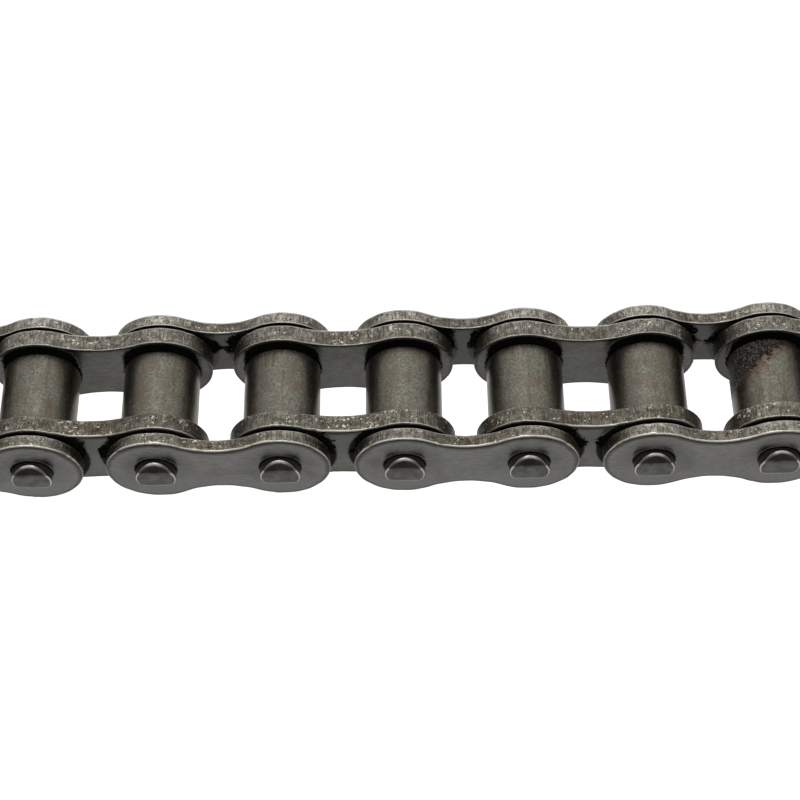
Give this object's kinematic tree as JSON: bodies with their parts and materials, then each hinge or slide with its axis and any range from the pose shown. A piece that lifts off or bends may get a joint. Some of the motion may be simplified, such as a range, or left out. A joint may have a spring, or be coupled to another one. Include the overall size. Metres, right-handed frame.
{
  "type": "roller chain",
  "caption": "Straight strand of simplex roller chain with waisted link plates, free rollers and riveted pins, an inner link at each end, ready for connecting links.",
  "frame": {"origin": "middle of the strand, on the pitch line: halfway between the end bushes' centres, the plates' faces and the plates' top and bottom", "axes": "+X along the pitch line of the straight strand, +Y along the pins from the front plates to the back plates, +Z across the plates' height, up when the strand stands on its plates' edges"},
  "size_m": [0.2496, 0.0364, 0.021],
  "materials": {
    "inner_plate": "rolled and punched steel, oiled, dark, with a finely worn face",
    "outer_plate": "rolled and punched steel, oiled, dark, with a finely worn face",
    "roller": "seamless steel, hardened, satin and slightly brown",
    "bush": "case-hardened steel, oiled",
    "pin": "hardened steel, ground, bright only where it was staked"
  },
  "bodies": {
    "inner_link_1": {"inner_link_1_front_plate": "inner_plate", "inner_link_1_back_plate": "inner_plate", "inner_link_1_left_bush": "bush", "inner_link_1_right_bush": "bush"},
    "inner_link_1_left_roller": {"inner_link_1_left_roller": "roller"},
    "inner_link_1_right_roller": {"inner_link_1_right_roller": "roller"},
    "inner_link_2": {"inner_link_2_front_plate": "inner_plate", "inner_link_2_back_plate": "inner_plate", "inner_link_2_left_bush": "bush", "inner_link_2_right_bush": "bush"},
    "inner_link_2_left_roller": {"inner_link_2_left_roller": "roller"},
    "inner_link_2_right_roller": {"inner_link_2_right_roller": "roller"},
    "inner_link_3": {"inner_link_3_front_plate": "inner_plate", "inner_link_3_back_plate": "inner_plate", "inner_link_3_left_bush": "bush", "inner_link_3_right_bush": "bush"},
    "inner_link_3_left_roller": {"inner_link_3_left_roller": "roller"},
    "inner_link_3_right_roller": {"inner_link_3_right_roller": "roller"},
    "inner_link_4": {"inner_link_4_front_plate": "inner_plate", "inner_link_4_back_plate": "inner_plate", "inner_link_4_left_bush": "bush", "inner_link_4_right_bush": "bush"},
    "inner_link_4_left_roller": {"inner_link_4_left_roller": "roller"},
    "inner_link_4_right_roller": {"inner_link_4_right_roller": "roller"},
    "inner_link_5": {"inner_link_5_front_plate": "inner_plate", "inner_link_5_back_plate": "inner_plate", "inner_link_5_left_bush": "bush", "inner_link_5_right_bush": "bush"},
    "inner_link_5_left_roller": {"inner_link_5_left_roller": "roller"},
    "inner_link_5_right_roller": {"inner_link_5_right_roller": "roller"},
    "outer_link_1": {"outer_link_1_front_plate": "outer_plate", "outer_link_1_back_plate": "outer_plate", "outer_link_1_left_pin": "pin", "outer_link_1_right_pin": "pin"},
    "outer_link_2": {"outer_link_2_front_plate": "outer_plate", "outer_link_2_back_plate": "outer_plate", "outer_link_2_left_pin": "pin", "outer_link_2_right_pin": "pin"},
    "outer_link_3": {"outer_link_3_front_plate": "outer_plate", "outer_link_3_back_plate": "outer_plate", "outer_link_3_left_pin": "pin", "outer_link_3_right_pin": "pin"},
    "outer_link_4": {"outer_link_4_front_plate": "outer_plate", "outer_link_4_back_plate": "outer_plate", "outer_link_4_left_pin": "pin", "outer_link_4_right_pin": "pin"}
  },
  "joints": [
    {"name": "inner_link_1_left_roller_spin", "type": "hinge", "parent": "inner_link_1", "child": "inner_link_1_left_roller", "pos_m": [-0.1143, 0, 0], "axis": [0, 1, 0], "continuous": true},
    {"name": "inner_link_1_right_roller_spin", "type": "hinge", "parent": "inner_link_1", "child": "inner_link_1_right_roller", "pos_m": [-0.0889, 0, 0], "axis": [0, 1, 0], "continuous": true},
    {"name": "inner_link_2_left_roller_spin", "type": "hinge", "parent": "inner_link_2", "child": "inner_link_2_left_roller", "pos_m": [-0.0635, 0, 0], "axis": [0, 1, 0], "continuous": true},
    {"name": "inner_link_2_right_roller_spin", "type": "hinge", "parent": "inner_link_2", "child": "inner_link_2_right_roller", "pos_m": [-0.0381, 0, 0], "axis": [0, 1, 0], "continuous": true},
    {"name": "inner_link_3_left_roller_spin", "type": "hinge", "parent": "inner_link_3", "child": "inner_link_3_left_roller", "pos_m": [-0.0127, 0, 0], "axis": [0, 1, 0], "continuous": true},
    {"name": "inner_link_3_right_roller_spin", "type": "hinge", "parent": "inner_link_3", "child": "inner_link_3_right_roller", "pos_m": [0.0127, 0, 0], "axis": [0, 1, 0], "continuous": true},
    {"name": "inner_link_4_left_roller_spin", "type": "hinge", "parent": "inner_link_4", "child": "inner_link_4_left_roller", "pos_m": [0.0381, 0, 0], "axis": [0, 1, 0], "continuous": true},
    {"name": "inner_link_4_right_roller_spin", "type": "hinge", "parent": "inner_link_4", "child": "inner_link_4_right_roller", "pos_m": [0.0635, 0, 0], "axis": [0, 1, 0], "continuous": true},
    {"name": "inner_link_5_left_roller_spin", "type": "hinge", "parent": "inner_link_5", "child": "inner_link_5_left_roller", "pos_m": [0.0889, 0, 0], "axis": [0, 1, 0], "continuous": true},
    {"name": "inner_link_5_right_roller_spin", "type": "hinge", "parent": "inner_link_5", "child": "inner_link_5_right_roller", "pos_m": [0.1143, 0, 0], "axis": [0, 1, 0], "continuous": true},
    {"name": "outer_link_1_left_pin_hinge", "type": "hinge", "parent": "outer_link_1", "child": "inner_link_1", "pos_m": [-0.0889, 0, 0], "axis": [0, 1, 0], "range_deg": [-60, 60]},
    {"name": "outer_link_1_right_pin_hinge", "type": "hinge", "parent": "inner_link_2", "child": "outer_link_1", "pos_m": [-0.0635, 0, 0], "axis": [0, 1, 0], "range_deg": [-60, 60]},
    {"name": "outer_link_2_left_pin_hinge", "type": "hinge", "parent": "outer_link_2", "child": "inner_link_2", "pos_m": [-0.0381, 0, 0], "axis": [0, 1, 0], "range_deg": [-60, 60]},
    {"name": "outer_link_2_right_pin_hinge", "type": "hinge", "parent": "inner_link_3", "child": "outer_link_2", "pos_m": [-0.0127, 0, 0], "axis": [0, 1, 0], "range_deg": [-60, 60]},
    {"name": "outer_link_3_left_pin_hinge", "type": "hinge", "parent": "inner_link_3", "child": "outer_link_3", "pos_m": [0.0127, 0, 0], "axis": [0, 1, 0], "range_deg": [-60, 60]},
    {"name": "outer_link_3_right_pin_hinge", "type": "hinge", "parent": "outer_link_3", "child": "inner_link_4", "pos_m": [0.0381, 0, 0], "axis": [0, 1, 0], "range_deg": [-60, 60]},
    {"name": "outer_link_4_left_pin_hinge", "type": "hinge", "parent": "inner_link_4", "child": "outer_link_4", "pos_m": [0.0635, 0, 0], "axis": [0, 1, 0], "range_deg": [-60, 60]},
    {"name": "outer_link_4_right_pin_hinge", "type": "hinge", "parent": "outer_link_4", "child": "inner_link_5", "pos_m": [0.0889, 0, 0], "axis": [0, 1, 0], "range_deg": [-60, 60]}
  ]
}
